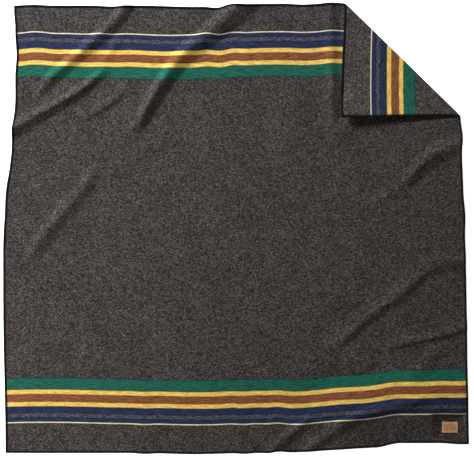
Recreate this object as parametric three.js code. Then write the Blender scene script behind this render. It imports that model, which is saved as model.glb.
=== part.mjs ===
// A striped wool camp blanket, lying flat with its top right corner folded over onto the front.
// Millimetres, +Z up. The origin is on the surface it lies on, under the middle of the blanket;
// +X runs across the stripes' ends to the right, +Y runs along the blanket to its folded end.

import * as THREE from 'three';

// Cloth
const CLOTH_WIDTH = 2286;
const CLOTH_LENGTH = 2208;
const CLOTH_THICKNESS = 3;
const EDGING_WIDTH = 6;
const GAP = 0.3; // between solids that touch on the real object

// Stripes at each end, in order from the end border inwards
const TOP_BORDER = 134;
const BOTTOM_BORDER = 141;
const STRIPES = [
  { name: 'cream_hairline', width: 6, colour: 'cream' },
  { name: 'outer_navy_stripe', width: 21, colour: 'navy' },
  { name: 'heather_stripe', width: 22, colour: 'heather' },
  { name: 'inner_navy_stripe', width: 33, colour: 'navy' },
  { name: 'outer_gold_stripe', width: 23, colour: 'gold' },
  { name: 'rust_stripe', width: 37, colour: 'rust' },
  { name: 'inner_gold_stripe', width: 23, colour: 'gold' },
  { name: 'green_band', width: 57, colour: 'green' },
];

// How the cloth lies: where its four edges run. A shift grows or fades between two places given
// as shares of the way from the middle of the blanket (0) to that edge's end (1 or -1).
const LEFT_EDGE = {
  at: -1149,
  topTuck: 60,
  topTuckFrom: -0.1,
  topTuckTo: 0.6,
  footTuck: 12,
  footTuckFrom: 0.3,
};
const RIGHT_EDGE = { at: 1121, splay: 28 };
const TOP_EDGE = { at: 1102, rise: 9, riseFrom: -0.1, riseTo: 0.15, flare: 35, flareFrom: 0.4 };
const BOTTOM_EDGE = {
  at: -1105,
  rise: 30,
  riseFrom: 0.12,
  riseTo: 0.72,
  step: 19,
  stepFrom: 0.6,
  stepTo: 0.7,
};
const SLACK_DIP = { depth: 6, middle: -0.18, reach: 0.25 }; // both end edges sag a little here

// Small shifts of the edges and of the stripes near each end, to the right or up, each with the
// middle and the reach of the stretch that it moves, as shares like those above
const LEFT_SHIFTS = [
  { by: -6, middle: 0.98, reach: 0.08 },
  { by: 6, middle: 0.78, reach: 0.1 },
  { by: -8, middle: 0.45, reach: 0.12 },
  { by: -6, middle: 0.17, reach: 0.12 },
];
const RIGHT_SHIFTS = [
  { by: 7.5, middle: -0.2, reach: 0.75 },
  { by: 5, middle: 0.02, reach: 0.1 },
  { by: 6, middle: 0.38, reach: 0.08 },
  { by: 7, middle: 1, reach: 0.4 },
];
const TOP_SHIFTS = [
  { by: 4, middle: -0.92, reach: 0.1 },
  { by: -4, middle: -0.56, reach: 0.09 },
  { by: -6, middle: -0.09, reach: 0.06 },
  { by: 6, middle: -0.02, reach: 0.07 },
  { by: -3.5, middle: 0.3, reach: 0.08 },
  { by: 6, middle: 0.43, reach: 0.08 },
];
const BOTTOM_SHIFTS = [
  { by: -4, middle: -0.4, reach: 0.07 },
  { by: -4, middle: 0.03, reach: 0.06 },
  { by: 6, middle: 0.18, reach: 0.06 },
  { by: -6, middle: 0.97, reach: 0.1 },
];
const TOP_STRIPE_SHIFTS = [
  { by: 5, middle: -0.9, reach: 0.1 },
  { by: -3, middle: -0.68, reach: 0.1 },
  { by: -7, middle: -0.35, reach: 0.2 },
  { by: 6, middle: -0.12, reach: 0.08 },
  { by: -10, middle: 0.95, reach: 0.45 },
];
const BOTTOM_STRIPE_SHIFTS = [
  { by: 7, middle: -0.82, reach: 0.4 },
  { by: -7, middle: 0.27, reach: 0.2 },
  { by: 5, middle: 0.62, reach: 0.08 },
  { by: 7, middle: 1, reach: 0.2 },
];
const STRIPES_BEGIN = 0.9; // stripe shifts are whole from here to where the stripes end,
const STRIPES_END = 0.68; // and fade towards the edge and the middle of the blanket
const STRIPES_FADE = 0.45;

// Folded corner: the cloth starts to bend along the straight line between these two points
const CREASE_TOP = new THREE.Vector2(536, 1114);
const CREASE_RIGHT = new THREE.Vector2(1109, 555);
const BEND_RADIUS = 2.5; // to the middle of the cloth's thickness
const FOLD_TURN = THREE.MathUtils.degToRad(175); // from flat to folded over
const CREASE_CLEARANCE = 0.2;

// Leather patch near the bottom right corner
const PATCH_CENTRE = new THREE.Vector2(1057, -980);
const PATCH_WIDTH = 78;
const PATCH_HEIGHT = 53;
const PATCH_THICKNESS = 1.6;
const PATCH_CORNER = 3;
const STITCH_INSET = 4.5;
const STITCH_WIDTH = 1.2;
const STITCH_HEIGHT = 0.6;

// Curved borders run straight between multiples of this, so that neighbours follow each other
const STATION = 80;

const halfWidth = CLOTH_WIDTH / 2;
const halfLength = CLOTH_LENGTH / 2;
const { lerp, smoothstep } = THREE.MathUtils;

const COLOURS = {
  ground: { color: '#4c4845', roughness: 0.95 },
  heather: { color: '#53555b', roughness: 0.95 },
  green: { color: '#1f5a4b', roughness: 0.9 },
  gold: { color: '#cda54f', roughness: 0.9 },
  rust: { color: '#77472c', roughness: 0.9 },
  navy: { color: '#262f4b', roughness: 0.9 },
  cream: { color: '#d9c79f', roughness: 0.9 },
  edging: { color: '#17181a', roughness: 0.9 },
  leather: { color: '#9c754d', roughness: 0.6 },
  thread: { color: '#6b4a2c', roughness: 0.7 },
};

const materialOf = (colour) => new THREE.MeshStandardMaterial({ ...COLOURS[colour], metalness: 0 });

// --- How the cloth lies -------------------------------------------------------------------

/** A cosine hump: 1 at its middle, 0 beyond its half width. */
function hump(share, middle, reach) {
  const away = Math.min(Math.abs(share - middle) / reach, 1);
  return (1 + Math.cos(Math.PI * away)) / 2;
}

/** The sum of a list of shifts at a place. */
function shiftAt(share, shifts) {
  return shifts.reduce((sum, { by, middle, reach }) => sum + by * hump(share, middle, reach), 0);
}

function leftEdgeX(along) {
  const e = LEFT_EDGE;
  const top = e.topTuck * smoothstep(along, e.topTuckFrom, e.topTuckTo);
  const foot = e.footTuck * smoothstep(-along, e.footTuckFrom, 1);
  return e.at + top + foot + shiftAt(along, LEFT_SHIFTS);
}

function rightEdgeX(along) {
  return RIGHT_EDGE.at - RIGHT_EDGE.splay * along + shiftAt(along, RIGHT_SHIFTS);
}

function slackDip(across) {
  return SLACK_DIP.depth * hump(across, SLACK_DIP.middle, SLACK_DIP.reach);
}

function topEdgeY(across) {
  const e = TOP_EDGE;
  const rise = e.rise * smoothstep(across, e.riseFrom, e.riseTo);
  const flare = e.flare * smoothstep(across, e.flareFrom, 1);
  return e.at + rise + flare - slackDip(across) + shiftAt(across, TOP_SHIFTS);
}

function bottomEdgeY(across) {
  const e = BOTTOM_EDGE;
  const rise = e.rise * smoothstep(across, e.riseFrom, e.riseTo);
  const step = e.step * smoothstep(across, e.stepFrom, e.stepTo);
  return e.at + rise + step - slackDip(across) + shiftAt(across, BOTTOM_SHIFTS);
}

function stripeShift(across, along) {
  const away = Math.abs(along);
  const share = smoothstep(1 - away, 0, 1 - STRIPES_BEGIN) * smoothstep(away, STRIPES_FADE, STRIPES_END);
  return share * shiftAt(across, along > 0 ? TOP_STRIPE_SHIFTS : BOTTOM_STRIPE_SHIFTS);
}

/** Where a point of the cloth lies, from its place on the cloth in millimetres off the middle. */
function lie(x, y) {
  const across = x / halfWidth;
  const along = y / halfLength;
  const up = lerp(bottomEdgeY(across), topEdgeY(across), (along + 1) / 2);
  return new THREE.Vector2(
    lerp(leftEdgeX(along), rightEdgeX(along), (across + 1) / 2),
    up + stripeShift(across, along),
  );
}

/** The same, but straight from station to station, which keeps borders that meet side by side. */
function lieFaceted(x, y) {
  const left = Math.floor(x / STATION) * STATION;
  const low = Math.floor(y / STATION) * STATION;
  const right = left + STATION;
  const high = low + STATION;
  const across = (x - left) / STATION;
  const lowSide = lie(left, low).lerp(lie(right, low), across);
  const highSide = lie(left, high).lerp(lie(right, high), across);
  return lowSide.lerp(highSide, (y - low) / STATION);
}

/** From one place to another, not counting the last, by way of every station between them. */
function stations(from, to) {
  const inside = [];
  for (let k = Math.floor(Math.min(from, to) / STATION) + 1; k * STATION < Math.max(from, to); k++) {
    inside.push(k * STATION);
  }
  return [from, ...(to > from ? inside : inside.reverse())];
}

/** The outline of a rectangle of cloth as it lies, counter-clockwise, with points along each side. */
function lyingRectangle(left, right, low, high) {
  return [
    ...stations(left, right).map((x) => lieFaceted(x, low)),
    ...stations(low, high).map((y) => lieFaceted(right, y)),
    ...stations(right, left).map((x) => lieFaceted(x, high)),
    ...stations(high, low).map((y) => lieFaceted(left, y)),
  ];
}

// --- The crease ---------------------------------------------------------------------------

const creaseDirection = CREASE_RIGHT.clone().sub(CREASE_TOP).normalize();
const inward = new THREE.Vector2(creaseDirection.y, -creaseDirection.x);
const creaseMiddle = CREASE_TOP.clone().add(CREASE_RIGHT).multiplyScalar(0.5);
const distanceInward = (point) => point.clone().sub(CREASE_TOP).dot(inward);

/** The part of an outline where depth(point) is not negative, cut straight along depth = 0. */
function clip(points, depth) {
  const kept = [];
  points.forEach((point, i) => {
    const next = points[(i + 1) % points.length];
    const here = depth(point);
    const there = depth(next);
    if (here >= 0) kept.push(point);
    if (here * there < 0) kept.push(point.clone().lerp(next, here / (here - there)));
  });
  return kept;
}

// --- Solids -------------------------------------------------------------------------------

const blanket = new THREE.Group();
const cornerFlap = new THREE.Group();
const flapPivot = new THREE.Vector3(creaseMiddle.x, creaseMiddle.y, CLOTH_THICKNESS / 2 + BEND_RADIUS);
const foldAxis = new THREE.Vector3(creaseDirection.x, creaseDirection.y, 0);
cornerFlap.position.copy(flapPivot);
cornerFlap.quaternion.setFromAxisAngle(foldAxis, FOLD_TURN);

/** Adds a flat piece of the given outline to a group, as its own named solid. */
function addSheet(group, name, points, colour, height = CLOTH_THICKNESS, base = 0) {
  const geometry = new THREE.ExtrudeGeometry(new THREE.Shape(points), { depth: height, bevelEnabled: false });
  geometry.translate(0, 0, base);
  const mesh = new THREE.Mesh(geometry, materialOf(colour));
  mesh.name = name;
  group.add(mesh);
  return mesh;
}

/** Adds a piece of cloth: the stretch before the crease lies still, the rest is on the flap. */
function addCloth(name, flapName, points, colour) {
  addSheet(blanket, name, clip(points, (p) => distanceInward(p) - CREASE_CLEARANCE), colour);
  const beyond = clip(points, (p) => -distanceInward(p) - CREASE_CLEARANCE);
  if (beyond.length > 0) {
    const mesh = addSheet(cornerFlap, flapName, beyond, colour);
    mesh.geometry.translate(-flapPivot.x, -flapPivot.y, -flapPivot.z);
  }
}

function roundedRectangle(width, height, radius) {
  const shape = new THREE.Shape();
  const x = width / 2 - radius;
  const y = height / 2 - radius;
  shape.absarc(x, y, radius, 0, Math.PI / 2);
  shape.absarc(-x, y, radius, Math.PI / 2, Math.PI);
  shape.absarc(-x, -y, radius, Math.PI, Math.PI * 1.5);
  shape.absarc(x, -y, radius, Math.PI * 1.5, Math.PI * 2);
  return shape;
}

function addPatchPiece(name, shape, height, base, colour) {
  const geometry = new THREE.ExtrudeGeometry(shape, { depth: height, bevelEnabled: false, curveSegments: 4 });
  const mesh = new THREE.Mesh(geometry, materialOf(colour));
  mesh.name = name;
  mesh.position.set(PATCH_CENTRE.x, PATCH_CENTRE.y, base);
  blanket.add(mesh);
}

// --- Woven cloth --------------------------------------------------------------------------

const clothHalfWidth = halfWidth - EDGING_WIDTH - GAP;
const woven = (low, high) => lyingRectangle(-clothHalfWidth, clothHalfWidth, low, high);

/** Adds one end's border and stripes, and returns how far from the middle the plain ground starts. */
function addEnd(end, sign, border) {
  const rim = EDGING_WIDTH + GAP / 2;
  const bands = [{ name: 'end_border', width: border - rim, colour: 'ground' }, ...STRIPES];
  let outer = halfLength - rim;
  for (const { name, width, colour } of bands) {
    const edges = [sign * (outer - GAP / 2), sign * (outer - width + GAP / 2)];
    addCloth(`${end}_${name}`, `corner_${name}`, woven(Math.min(...edges), Math.max(...edges)), colour);
    outer -= width;
  }
  return outer;
}

const topGround = addEnd('top', 1, TOP_BORDER);
const bottomGround = addEnd('bottom', -1, BOTTOM_BORDER);
addCloth('centre_ground', 'corner_ground', woven(-bottomGround + GAP / 2, topGround - GAP / 2), 'ground');

// --- Whipstitched edges -------------------------------------------------------------------

const rimEnd = halfLength - EDGING_WIDTH;
const sideReach = rimEnd - GAP;
const edges = {
  bottom_edge_whipstitch: [-halfWidth, halfWidth, -halfLength, -rimEnd],
  top_edge_whipstitch: [-halfWidth, halfWidth, rimEnd, halfLength],
  left_edge_whipstitch: [-halfWidth, -halfWidth + EDGING_WIDTH, -sideReach, sideReach],
  right_edge_whipstitch: [halfWidth - EDGING_WIDTH, halfWidth, -sideReach, sideReach],
};
for (const [name, sides] of Object.entries(edges)) {
  addCloth(name, `corner_${name}`, lyingRectangle(...sides), 'edging');
}

// --- Leather patch ------------------------------------------------------------------------

const patchBase = CLOTH_THICKNESS + GAP;
const stitchLine = roundedRectangle(PATCH_WIDTH - 2 * STITCH_INSET, PATCH_HEIGHT - 2 * STITCH_INSET, PATCH_CORNER);
const stitchInside = 2 * (STITCH_INSET + STITCH_WIDTH);
stitchLine.holes.push(
  roundedRectangle(PATCH_WIDTH - stitchInside, PATCH_HEIGHT - stitchInside, PATCH_CORNER - STITCH_WIDTH),
);
addPatchPiece(
  'leather_patch',
  roundedRectangle(PATCH_WIDTH, PATCH_HEIGHT, PATCH_CORNER),
  PATCH_THICKNESS,
  patchBase,
  'leather',
);
addPatchPiece('patch_stitching', stitchLine, STITCH_HEIGHT, patchBase + PATCH_THICKNESS + GAP, 'thread');

blanket.add(cornerFlap);

export default blanket;
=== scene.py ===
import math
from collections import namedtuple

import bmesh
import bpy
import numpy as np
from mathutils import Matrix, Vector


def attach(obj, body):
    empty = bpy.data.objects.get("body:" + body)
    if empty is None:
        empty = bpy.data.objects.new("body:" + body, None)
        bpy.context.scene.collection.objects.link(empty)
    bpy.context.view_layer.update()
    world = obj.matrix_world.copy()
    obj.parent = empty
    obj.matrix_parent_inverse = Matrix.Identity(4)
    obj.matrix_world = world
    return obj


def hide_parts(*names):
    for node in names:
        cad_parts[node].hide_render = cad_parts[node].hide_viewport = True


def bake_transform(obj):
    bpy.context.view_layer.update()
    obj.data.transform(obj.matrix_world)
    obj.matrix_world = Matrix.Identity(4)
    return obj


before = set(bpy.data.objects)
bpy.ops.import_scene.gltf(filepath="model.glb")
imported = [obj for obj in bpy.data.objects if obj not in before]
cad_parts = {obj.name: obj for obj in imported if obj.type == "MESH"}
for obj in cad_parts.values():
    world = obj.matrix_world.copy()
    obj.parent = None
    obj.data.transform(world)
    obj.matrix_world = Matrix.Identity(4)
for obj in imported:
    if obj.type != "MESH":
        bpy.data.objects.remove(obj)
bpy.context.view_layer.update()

# A striped wool camp blanket, laid flat with its top right corner folded over onto the front.
#
# Metres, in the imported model's frame: +X across the blanket, +Y along it to its folded end, +Z up.
# The cloth is built in its own flat coordinates (x across, y along, from its middle), laid out as
# it lies, given its wrinkles and folded at the corner. Cloth and edge yarn go through the same
# functions, so they meet. Each piece stands for one CAD node: the cloth of NODE is NODE_cloth and
# its edge yarn NODE_yarn.

MM = 0.001

# Cloth, as in the CAD model
CLOTH_WIDTH = 2286 * MM
CLOTH_LENGTH = 2208 * MM
CLOTH_THICKNESS = 3 * MM
TOP_BORDER = 134 * MM
BOTTOM_BORDER = 141 * MM
Stripe = namedtuple("Stripe", "name width slot")
STRIPES = (  # from the end border inwards
    Stripe("cream_hairline", 6 * MM, "cream_wool"),
    Stripe("outer_navy_stripe", 21 * MM, "navy_wool"),
    Stripe("heather_stripe", 22 * MM, "heather_wool"),
    Stripe("inner_navy_stripe", 33 * MM, "navy_wool"),
    Stripe("outer_gold_stripe", 23 * MM, "gold_wool"),
    Stripe("rust_stripe", 37 * MM, "rust_wool"),
    Stripe("inner_gold_stripe", 23 * MM, "gold_wool"),
    Stripe("green_band", 57 * MM, "green_wool"),
)
HALF_WIDTH = CLOTH_WIDTH / 2
HALF_LENGTH = CLOTH_LENGTH / 2

# How the four edges lie, as in the CAD model
# Spans, middles and reaches are shares of half the cloth's width or length, from its middle.
LEFT_AT = -1149 * MM
LEFT_TOP_TUCK, LEFT_TOP_SPAN = 60 * MM, (-0.1, 0.6)
LEFT_FOOT_TUCK, LEFT_FOOT_SPAN = 12 * MM, (0.3, 1)
RIGHT_AT, RIGHT_SPLAY = 1121 * MM, 28 * MM
TOP_AT = 1102 * MM
TOP_RISE, TOP_RISE_SPAN = 9 * MM, (-0.1, 0.15)
TOP_FLARE, TOP_FLARE_SPAN = 35 * MM, (0.4, 1)
BOTTOM_AT = -1105 * MM
BOTTOM_RISE, BOTTOM_RISE_SPAN = 30 * MM, (0.12, 0.72)
BOTTOM_STEP, BOTTOM_STEP_SPAN = 19 * MM, (0.6, 0.7)
SLACK_DEPTH, SLACK_MIDDLE, SLACK_REACH = 6 * MM, -0.18, 0.25

# Small shifts of the edges and of the stripes near each end, as in the CAD model
Shift = namedtuple("Shift", "by middle reach")
LEFT_SHIFTS = (
    Shift(-6 * MM, 0.98, 0.08),
    Shift(6 * MM, 0.78, 0.1),
    Shift(-8 * MM, 0.45, 0.12),
    Shift(-6 * MM, 0.17, 0.12),
)
RIGHT_SHIFTS = (
    Shift(7.5 * MM, -0.2, 0.75),
    Shift(5 * MM, 0.02, 0.1),
    Shift(6 * MM, 0.38, 0.08),
    Shift(7 * MM, 1, 0.4),
)
TOP_SHIFTS = (
    Shift(4 * MM, -0.92, 0.1),
    Shift(-4 * MM, -0.56, 0.09),
    Shift(-6 * MM, -0.09, 0.06),
    Shift(6 * MM, -0.02, 0.07),
    Shift(-3.5 * MM, 0.3, 0.08),
    Shift(6 * MM, 0.43, 0.08),
)
BOTTOM_SHIFTS = (
    Shift(-4 * MM, -0.4, 0.07),
    Shift(-4 * MM, 0.03, 0.06),
    Shift(6 * MM, 0.18, 0.06),
    Shift(-6 * MM, 0.97, 0.1),
)
TOP_STRIPE_SHIFTS = (
    Shift(5 * MM, -0.9, 0.1),
    Shift(-3 * MM, -0.68, 0.1),
    Shift(-7 * MM, -0.35, 0.2),
    Shift(6 * MM, -0.12, 0.08),
    Shift(-10 * MM, 0.95, 0.45),
)
BOTTOM_STRIPE_SHIFTS = (
    Shift(7 * MM, -0.82, 0.4),
    Shift(-7 * MM, 0.27, 0.2),
    Shift(5 * MM, 0.62, 0.08),
    Shift(7 * MM, 1, 0.2),
)
STRIPES_BEGIN, STRIPES_END, STRIPES_FADE = 0.9, 0.68, 0.45

# The folded corner, as in the CAD model
CREASE_TOP = np.array([536, 1114]) * MM
CREASE_RIGHT = np.array([1109, 555]) * MM
BEND_RADIUS = 2.5 * MM
HINGE_HEIGHT = CLOTH_THICKNESS / 2 + BEND_RADIUS
FLAP_RISE = math.sin(math.radians(5))

# How the mesh is cut up
GRID_STEP = 9.5 * MM
RIM_ROWS = np.array([0, 2.5, 6, 10, 16]) * MM
CUT_TOLERANCE = 0.01 * MM
BEND_STEPS = 7

# The rim: the cloth is pressed thin where the yarn goes round it, and the yarn lifts it
CLOTH_INSET = 0.8 * MM
RIM_THICKNESS = 1.8 * MM
RIM_THIN = 10 * MM
RIM_TAPER = 18 * MM
RIM_LIFT = 2.0 * MM
RIM_LIFT_REACH = 22 * MM

# Edge yarn: a flattened strand wound round the rim
STITCH_PITCH = 4.1 * MM
STITCH_DEPTH = 12 * MM
STRAND_WIDTH = 3.5 * MM
STRAND_THICKNESS = 1.8 * MM
STRAND_STEPS = 10
STRAND_SIDES = 6
STRAND_PROUD = 0.35  # the share of its thickness that its middle stands off the cloth
STRAND_SQUARENESS = 0.5  # below 1, a turn is nearer to a rounded box than to an ellipse
PATH_STEP = 4 * MM

# Leather patch, as in the CAD model
PATCH_CENTRE = np.array([1057, -980]) * MM
PATCH_WIDTH = 78 * MM
PATCH_HEIGHT = 53 * MM
PATCH_HALF = np.array([PATCH_WIDTH, PATCH_HEIGHT]) / 2
PATCH_THICKNESS = 1.6 * MM
PATCH_CORNER = 3 * MM
PATCH_BASE = 3.3 * MM

# --- How the cloth lies -------------------------------------------------------------------


def smoothstep(value, low, high):
    share = np.clip((value - low) / (high - low), 0, 1)
    return share * share * (3 - 2 * share)


def hump(value, middle, reach):
    """A cosine hump: 1 at its middle, 0 beyond its reach."""
    away = np.minimum(np.abs(value - middle) / reach, 1)
    return (1 + np.cos(np.pi * away)) / 2


def mixed(low, high, share):
    return low + (high - low) * share


def shift_at(value, shifts):
    return sum(shift.by * hump(value, shift.middle, shift.reach) for shift in shifts)


def left_edge_x(along):
    top_tuck = LEFT_TOP_TUCK * smoothstep(along, *LEFT_TOP_SPAN)
    foot_tuck = LEFT_FOOT_TUCK * smoothstep(-along, *LEFT_FOOT_SPAN)
    return LEFT_AT + top_tuck + foot_tuck + shift_at(along, LEFT_SHIFTS)


def right_edge_x(along):
    return RIGHT_AT - RIGHT_SPLAY * along + shift_at(along, RIGHT_SHIFTS)


def slack_dip(across):
    return SLACK_DEPTH * hump(across, SLACK_MIDDLE, SLACK_REACH)


def top_edge_y(across):
    rise = TOP_RISE * smoothstep(across, *TOP_RISE_SPAN) + TOP_FLARE * smoothstep(across, *TOP_FLARE_SPAN)
    return TOP_AT + rise - slack_dip(across) + shift_at(across, TOP_SHIFTS)


def bottom_edge_y(across):
    rise = BOTTOM_RISE * smoothstep(across, *BOTTOM_RISE_SPAN)
    step = BOTTOM_STEP * smoothstep(across, *BOTTOM_STEP_SPAN)
    return BOTTOM_AT + rise + step - slack_dip(across) + shift_at(across, BOTTOM_SHIFTS)


def stripe_shift(across, along):
    """How far the stripes are shifted; it fades out at the edge and towards the middle."""
    away = np.abs(along)
    share = smoothstep(1 - away, 0, 1 - STRIPES_BEGIN) * smoothstep(away, STRIPES_FADE, STRIPES_END)
    top = shift_at(across, TOP_STRIPE_SHIFTS)
    bottom = shift_at(across, BOTTOM_STRIPE_SHIFTS)
    return share * np.where(along > 0, top, bottom)


def lie(cloth):
    """Where points of the cloth lie before the corner is folded, from their places on the cloth."""
    across = cloth[:, 0] / HALF_WIDTH
    along = cloth[:, 1] / HALF_LENGTH
    x = mixed(left_edge_x(along), right_edge_x(along), (across + 1) / 2)
    y = mixed(bottom_edge_y(across), top_edge_y(across), (along + 1) / 2)
    return np.column_stack([x, y + stripe_shift(across, along)])


# --- Wrinkles -----------------------------------------------------------------------------

# Each is a ridge along the points of its crest, in metres, with the width of its gentle side at the
# first and the last point and its height. A crest that starts or ends well beyond the cloth's edge lets the
# ridge run out over the edge at its full height. A ridge is steeper on its upper left side, or on
# the other side where steep_side is -1.
Wrinkle = namedtuple("Wrinkle", "crest start_width end_width height steep_side", defaults=[1])
WRINKLES = (
    Wrinkle(((-0.48, 1.27), (-0.573, 1.063), (-0.692, 0.944), (-0.82, 0.83), (-0.939, 0.722),
             (-1.0, 0.61)), 62 * MM, 42 * MM, 15 * MM),
    Wrinkle(((-0.55, 1.01), (-0.583, 0.944), (-0.613, 0.885), (-0.69, 0.77)),
            36 * MM, 31 * MM, 5.5 * MM),
    Wrinkle(((-0.613, 0.825), (-0.697, 0.746), (-0.796, 0.672), (-0.969, 0.573), (-1.067, 0.519),
             (-1.27, 0.41)), 38 * MM, 60 * MM, 18 * MM),
    Wrinkle(((-0.544, 0.76), (-0.563, 0.687), (-0.633, 0.618), (-0.687, 0.583), (-0.78, 0.53)),
            38 * MM, 34 * MM, 9 * MM),
    Wrinkle(((0.15, 1.26), (0.02, 1.112), (-0.138, 0.969), (-0.267, 0.86), (-0.361, 0.736),
             (-0.425, 0.633), (-0.474, 0.539), (-0.53, 0.44)), 100 * MM, 48 * MM, 21 * MM),
    Wrinkle(((-0.67, 0.36), (-0.735, 0.235), (-0.835, 0.109), (-0.939, -0.015), (-1.06, -0.2)),
            63 * MM, 64 * MM, 12 * MM),
    Wrinkle(((1.28, 0.514), (1.107, 0.425), (1.0, 0.385), (0.934, 0.336), (0.885, 0.292),
             (0.771, 0.173)), 100 * MM, 52 * MM, 13 * MM),
    Wrinkle(((0.83, 0.215), (0.736, 0.163), (0.6, 0.12)), 37 * MM, 36 * MM, 4 * MM),
    Wrinkle(((1.32, -0.07), (1.132, -0.143), (0.944, -0.203), (0.87, -0.272), (0.786, -0.336),
             (0.647, -0.435), (0.563, -0.514), (0.44, -0.6)), 90 * MM, 56 * MM, 8.5 * MM, -1),
    Wrinkle(((1.32, -0.42), (1.082, -0.504), (0.909, -0.549), (0.81, -0.568), (0.7, -0.61)),
            56 * MM, 38 * MM, 8 * MM, -1),
    Wrinkle(((0.74, -0.63), (0.66, -0.67), (0.57, -0.72)), 33 * MM, 31 * MM, 4 * MM),
    Wrinkle(((1.04, -0.53), (0.96, -0.63), (0.85, -0.77)), 63 * MM, 54 * MM, 5.5 * MM),
    Wrinkle(((0.05, -1.25), (0.178, -1.092), (0.242, -1.033), (0.33, -0.96), (0.42, -0.88)),
            58 * MM, 42 * MM, 10 * MM),
    Wrinkle(((0.25, -1.21), (0.376, -1.072), (0.504, -0.974), (0.573, -0.929), (0.687, -0.89),
             (0.835, -0.86), (0.98, -0.83)), 63 * MM, 42 * MM, 9 * MM),
    Wrinkle(((0.38, -0.94), (0.6, -0.86), (0.8, -0.83), (1.25, -0.81)), 260 * MM, 270 * MM, 15 * MM),
    Wrinkle(((0.79, -1.25), (0.781, -1.043), (0.785, -0.93)), 40 * MM, 36 * MM, 4.5 * MM),
    Wrinkle(((-1.11, -0.06), (-1.075, -0.22)), 31 * MM, 30 * MM, 5 * MM),
    Wrinkle(((0.492, 1.32), (0.488, 0.9), (0.482, 0.4)), 100 * MM, 90 * MM, 8 * MM),
)
CREST_STEPS = 12
WRINKLE_TAPER = 150 * MM
STEEP_WAY = np.array([-1, 1])
STEEP_SHARE = 0.65
FLANK_ROUND = 0.22

# Slow swells in the cloth: wavelength, direction in degrees, phase, height
Swell = namedtuple("Swell", "length heading phase height")
SWELLS = (
    Swell(0.61, 128, 0.4, 1.0 * MM),
    Swell(0.37, 141, 2.1, 0.6 * MM),
    Swell(0.29, 97, 4.4, 0.35 * MM),
    Swell(0.47, 24, 1.3, 0.5 * MM),
    Swell(0.173, 133, 5.2, 0.22 * MM),
)

# Small lumps: how far apart they are, and their height; LUMP_CELLS is how many make one square table
LUMPS = ((130 * MM, 2.6 * MM), (62 * MM, 1.8 * MM), (31 * MM, 1.4 * MM))
LUMP_CELLS = 128


def smooth_line(points, steps):
    """A Catmull-Rom curve through the points, as closely spaced points."""
    p = np.array(points, float)
    p = np.vstack([2 * p[0] - p[1], p, 2 * p[-1] - p[-2]])
    t = np.linspace(0, 1, steps, endpoint=False)[:, None]
    line = []
    for a, b, c, d in zip(p, p[1:], p[2:], p[3:]):
        line.append(0.5 * (2 * b + (c - a) * t + (2 * a - 5 * b + 4 * c - d) * t**2
                           + (3 * b - a - 3 * c + d) * t**3))
    return np.vstack([*line, p[-2:-1]])


def along_line(points, line):
    """The way from a line to each point, and how far along the line that way starts."""
    nearest = np.full(len(points), np.inf)
    away = np.zeros(points.shape)
    along = np.zeros(len(points))
    passed = 0
    for start, end in zip(line, line[1:]):
        run = end - start
        length = np.linalg.norm(run)
        t = np.clip((points - start) @ run / length**2, 0, 1)
        way = points - start - t[:, None] * run
        gap = np.linalg.norm(way, axis=1)
        closer = gap < nearest
        nearest[closer] = gap[closer]
        away[closer] = way[closer]
        along[closer] = passed + t[closer] * length
        passed += length
    return away, along, passed


def flank(share):
    """A ridge's side: an even slope from 1 at its crest to 0 at its foot, rounded at both."""
    share = np.minimum(share, 1)
    crest = share**2 / (2 * FLANK_ROUND)
    middle = share - FLANK_ROUND / 2
    foot = 1 - FLANK_ROUND - (1 - share) ** 2 / (2 * FLANK_ROUND)
    drop = np.where(share < FLANK_ROUND, crest, np.where(share < 1 - FLANK_ROUND, middle, foot))
    return 1 - drop / (1 - FLANK_ROUND)


def wrinkle_height(points, wrinkle):
    reach = max(wrinkle.start_width, wrinkle.end_width)
    line = smooth_line(wrinkle.crest, CREST_STEPS)
    near = np.all((points > line.min(0) - reach) & (points < line.max(0) + reach), axis=1)
    height = np.zeros(len(points))
    away, along, length = along_line(points[near], line)
    width = mixed(wrinkle.start_width, wrinkle.end_width, along / length)
    width *= np.where(away @ STEEP_WAY * wrinkle.steep_side > 0, STEEP_SHARE, 1)
    taper = min(WRINKLE_TAPER, length / 2)
    ends = smoothstep(along, 0, taper) * smoothstep(length - along, 0, taper)
    height[near] = wrinkle.height * ends * flank(np.linalg.norm(away, axis=1) / width)
    return height


def lump_height(points):
    """Small soft lumps, as wool cloth keeps from being folded and walked on."""
    height = np.zeros(len(points))
    for seed, (cell, rise) in enumerate(LUMPS):
        place_in_cells = points / cell + LUMP_CELLS / 2
        corner = np.floor(place_in_cells).astype(int)
        share = place_in_cells - corner
        share = share * share * (3 - 2 * share)
        table = np.random.default_rng(seed).random((LUMP_CELLS, LUMP_CELLS))

        def level(dx, dy):
            return table[(corner[:, 0] + dx) % LUMP_CELLS, (corner[:, 1] + dy) % LUMP_CELLS]

        low = mixed(level(0, 0), level(1, 0), share[:, 0])
        high = mixed(level(0, 1), level(1, 1), share[:, 0])
        height += rise * mixed(low, high, share[:, 1])
    return height


def swell_height(points):
    height = np.zeros(len(points))
    for swell in SWELLS:
        heading = math.radians(swell.heading)
        run = points @ np.array([math.cos(heading), math.sin(heading)])
        height += swell.height * (1 + np.sin(2 * np.pi * run / swell.length + swell.phase)) / 2
    return height


crease_direction = (CREASE_RIGHT - CREASE_TOP) / np.linalg.norm(CREASE_RIGHT - CREASE_TOP)
inward = np.array([crease_direction[1], -crease_direction[0]])  # across the crease, off the flap's side
FLAT_MARGIN = 60 * MM  # over which the wrinkles come up beside what lies flat


def depth_of(points):
    """How far points lie from the crease, towards the middle of the blanket."""
    return (points - CREASE_TOP) @ inward


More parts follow.
